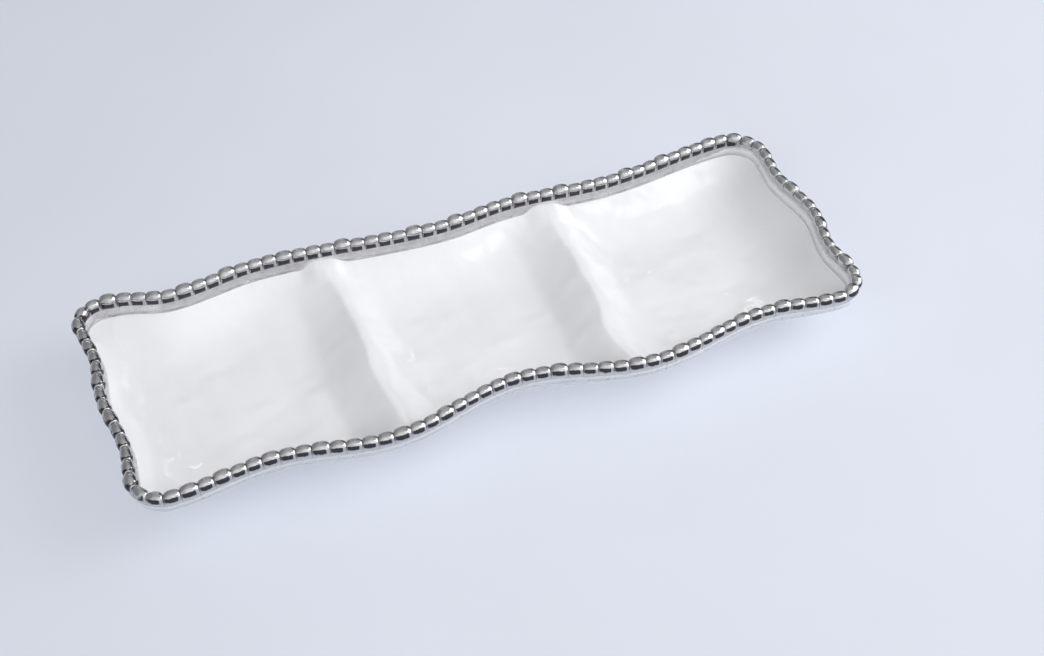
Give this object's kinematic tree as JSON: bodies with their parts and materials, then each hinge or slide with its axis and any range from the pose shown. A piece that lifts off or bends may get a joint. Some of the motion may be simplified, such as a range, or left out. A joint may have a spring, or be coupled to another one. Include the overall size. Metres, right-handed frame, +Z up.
{
  "type": "divided serving dish",
  "caption": "Long serving dish with waved sides, wells parted by soft folds, and a beaded metal-plated rim.",
  "frame": {"origin": "on the table under the middle of the dish's box", "axes": "+X along the long side to the right, +Y to the back, +Z up out of the wells"},
  "size_m": [0.43, 0.1615, 0.041],
  "materials": {
    "glazed_porcelain": "gloss",
    "plated_metal": "polished",
    "bare_porcelain": "matte"
  },
  "bodies": {
    "root": {"dish_body": "glazed_porcelain", "rim_band": "plated_metal", "front_beads": "plated_metal", "right_beads": "plated_metal", "back_beads": "plated_metal", "left_beads": "plated_metal", "front_left_corner_beads": "plated_metal", "front_right_corner_beads": "plated_metal", "back_right_corner_beads": "plated_metal", "back_left_corner_beads": "plated_metal", "left_foot_ring": "bare_porcelain", "centre_foot_ring": "bare_porcelain", "right_foot_ring": "bare_porcelain"}
  },
  "joints": []
}
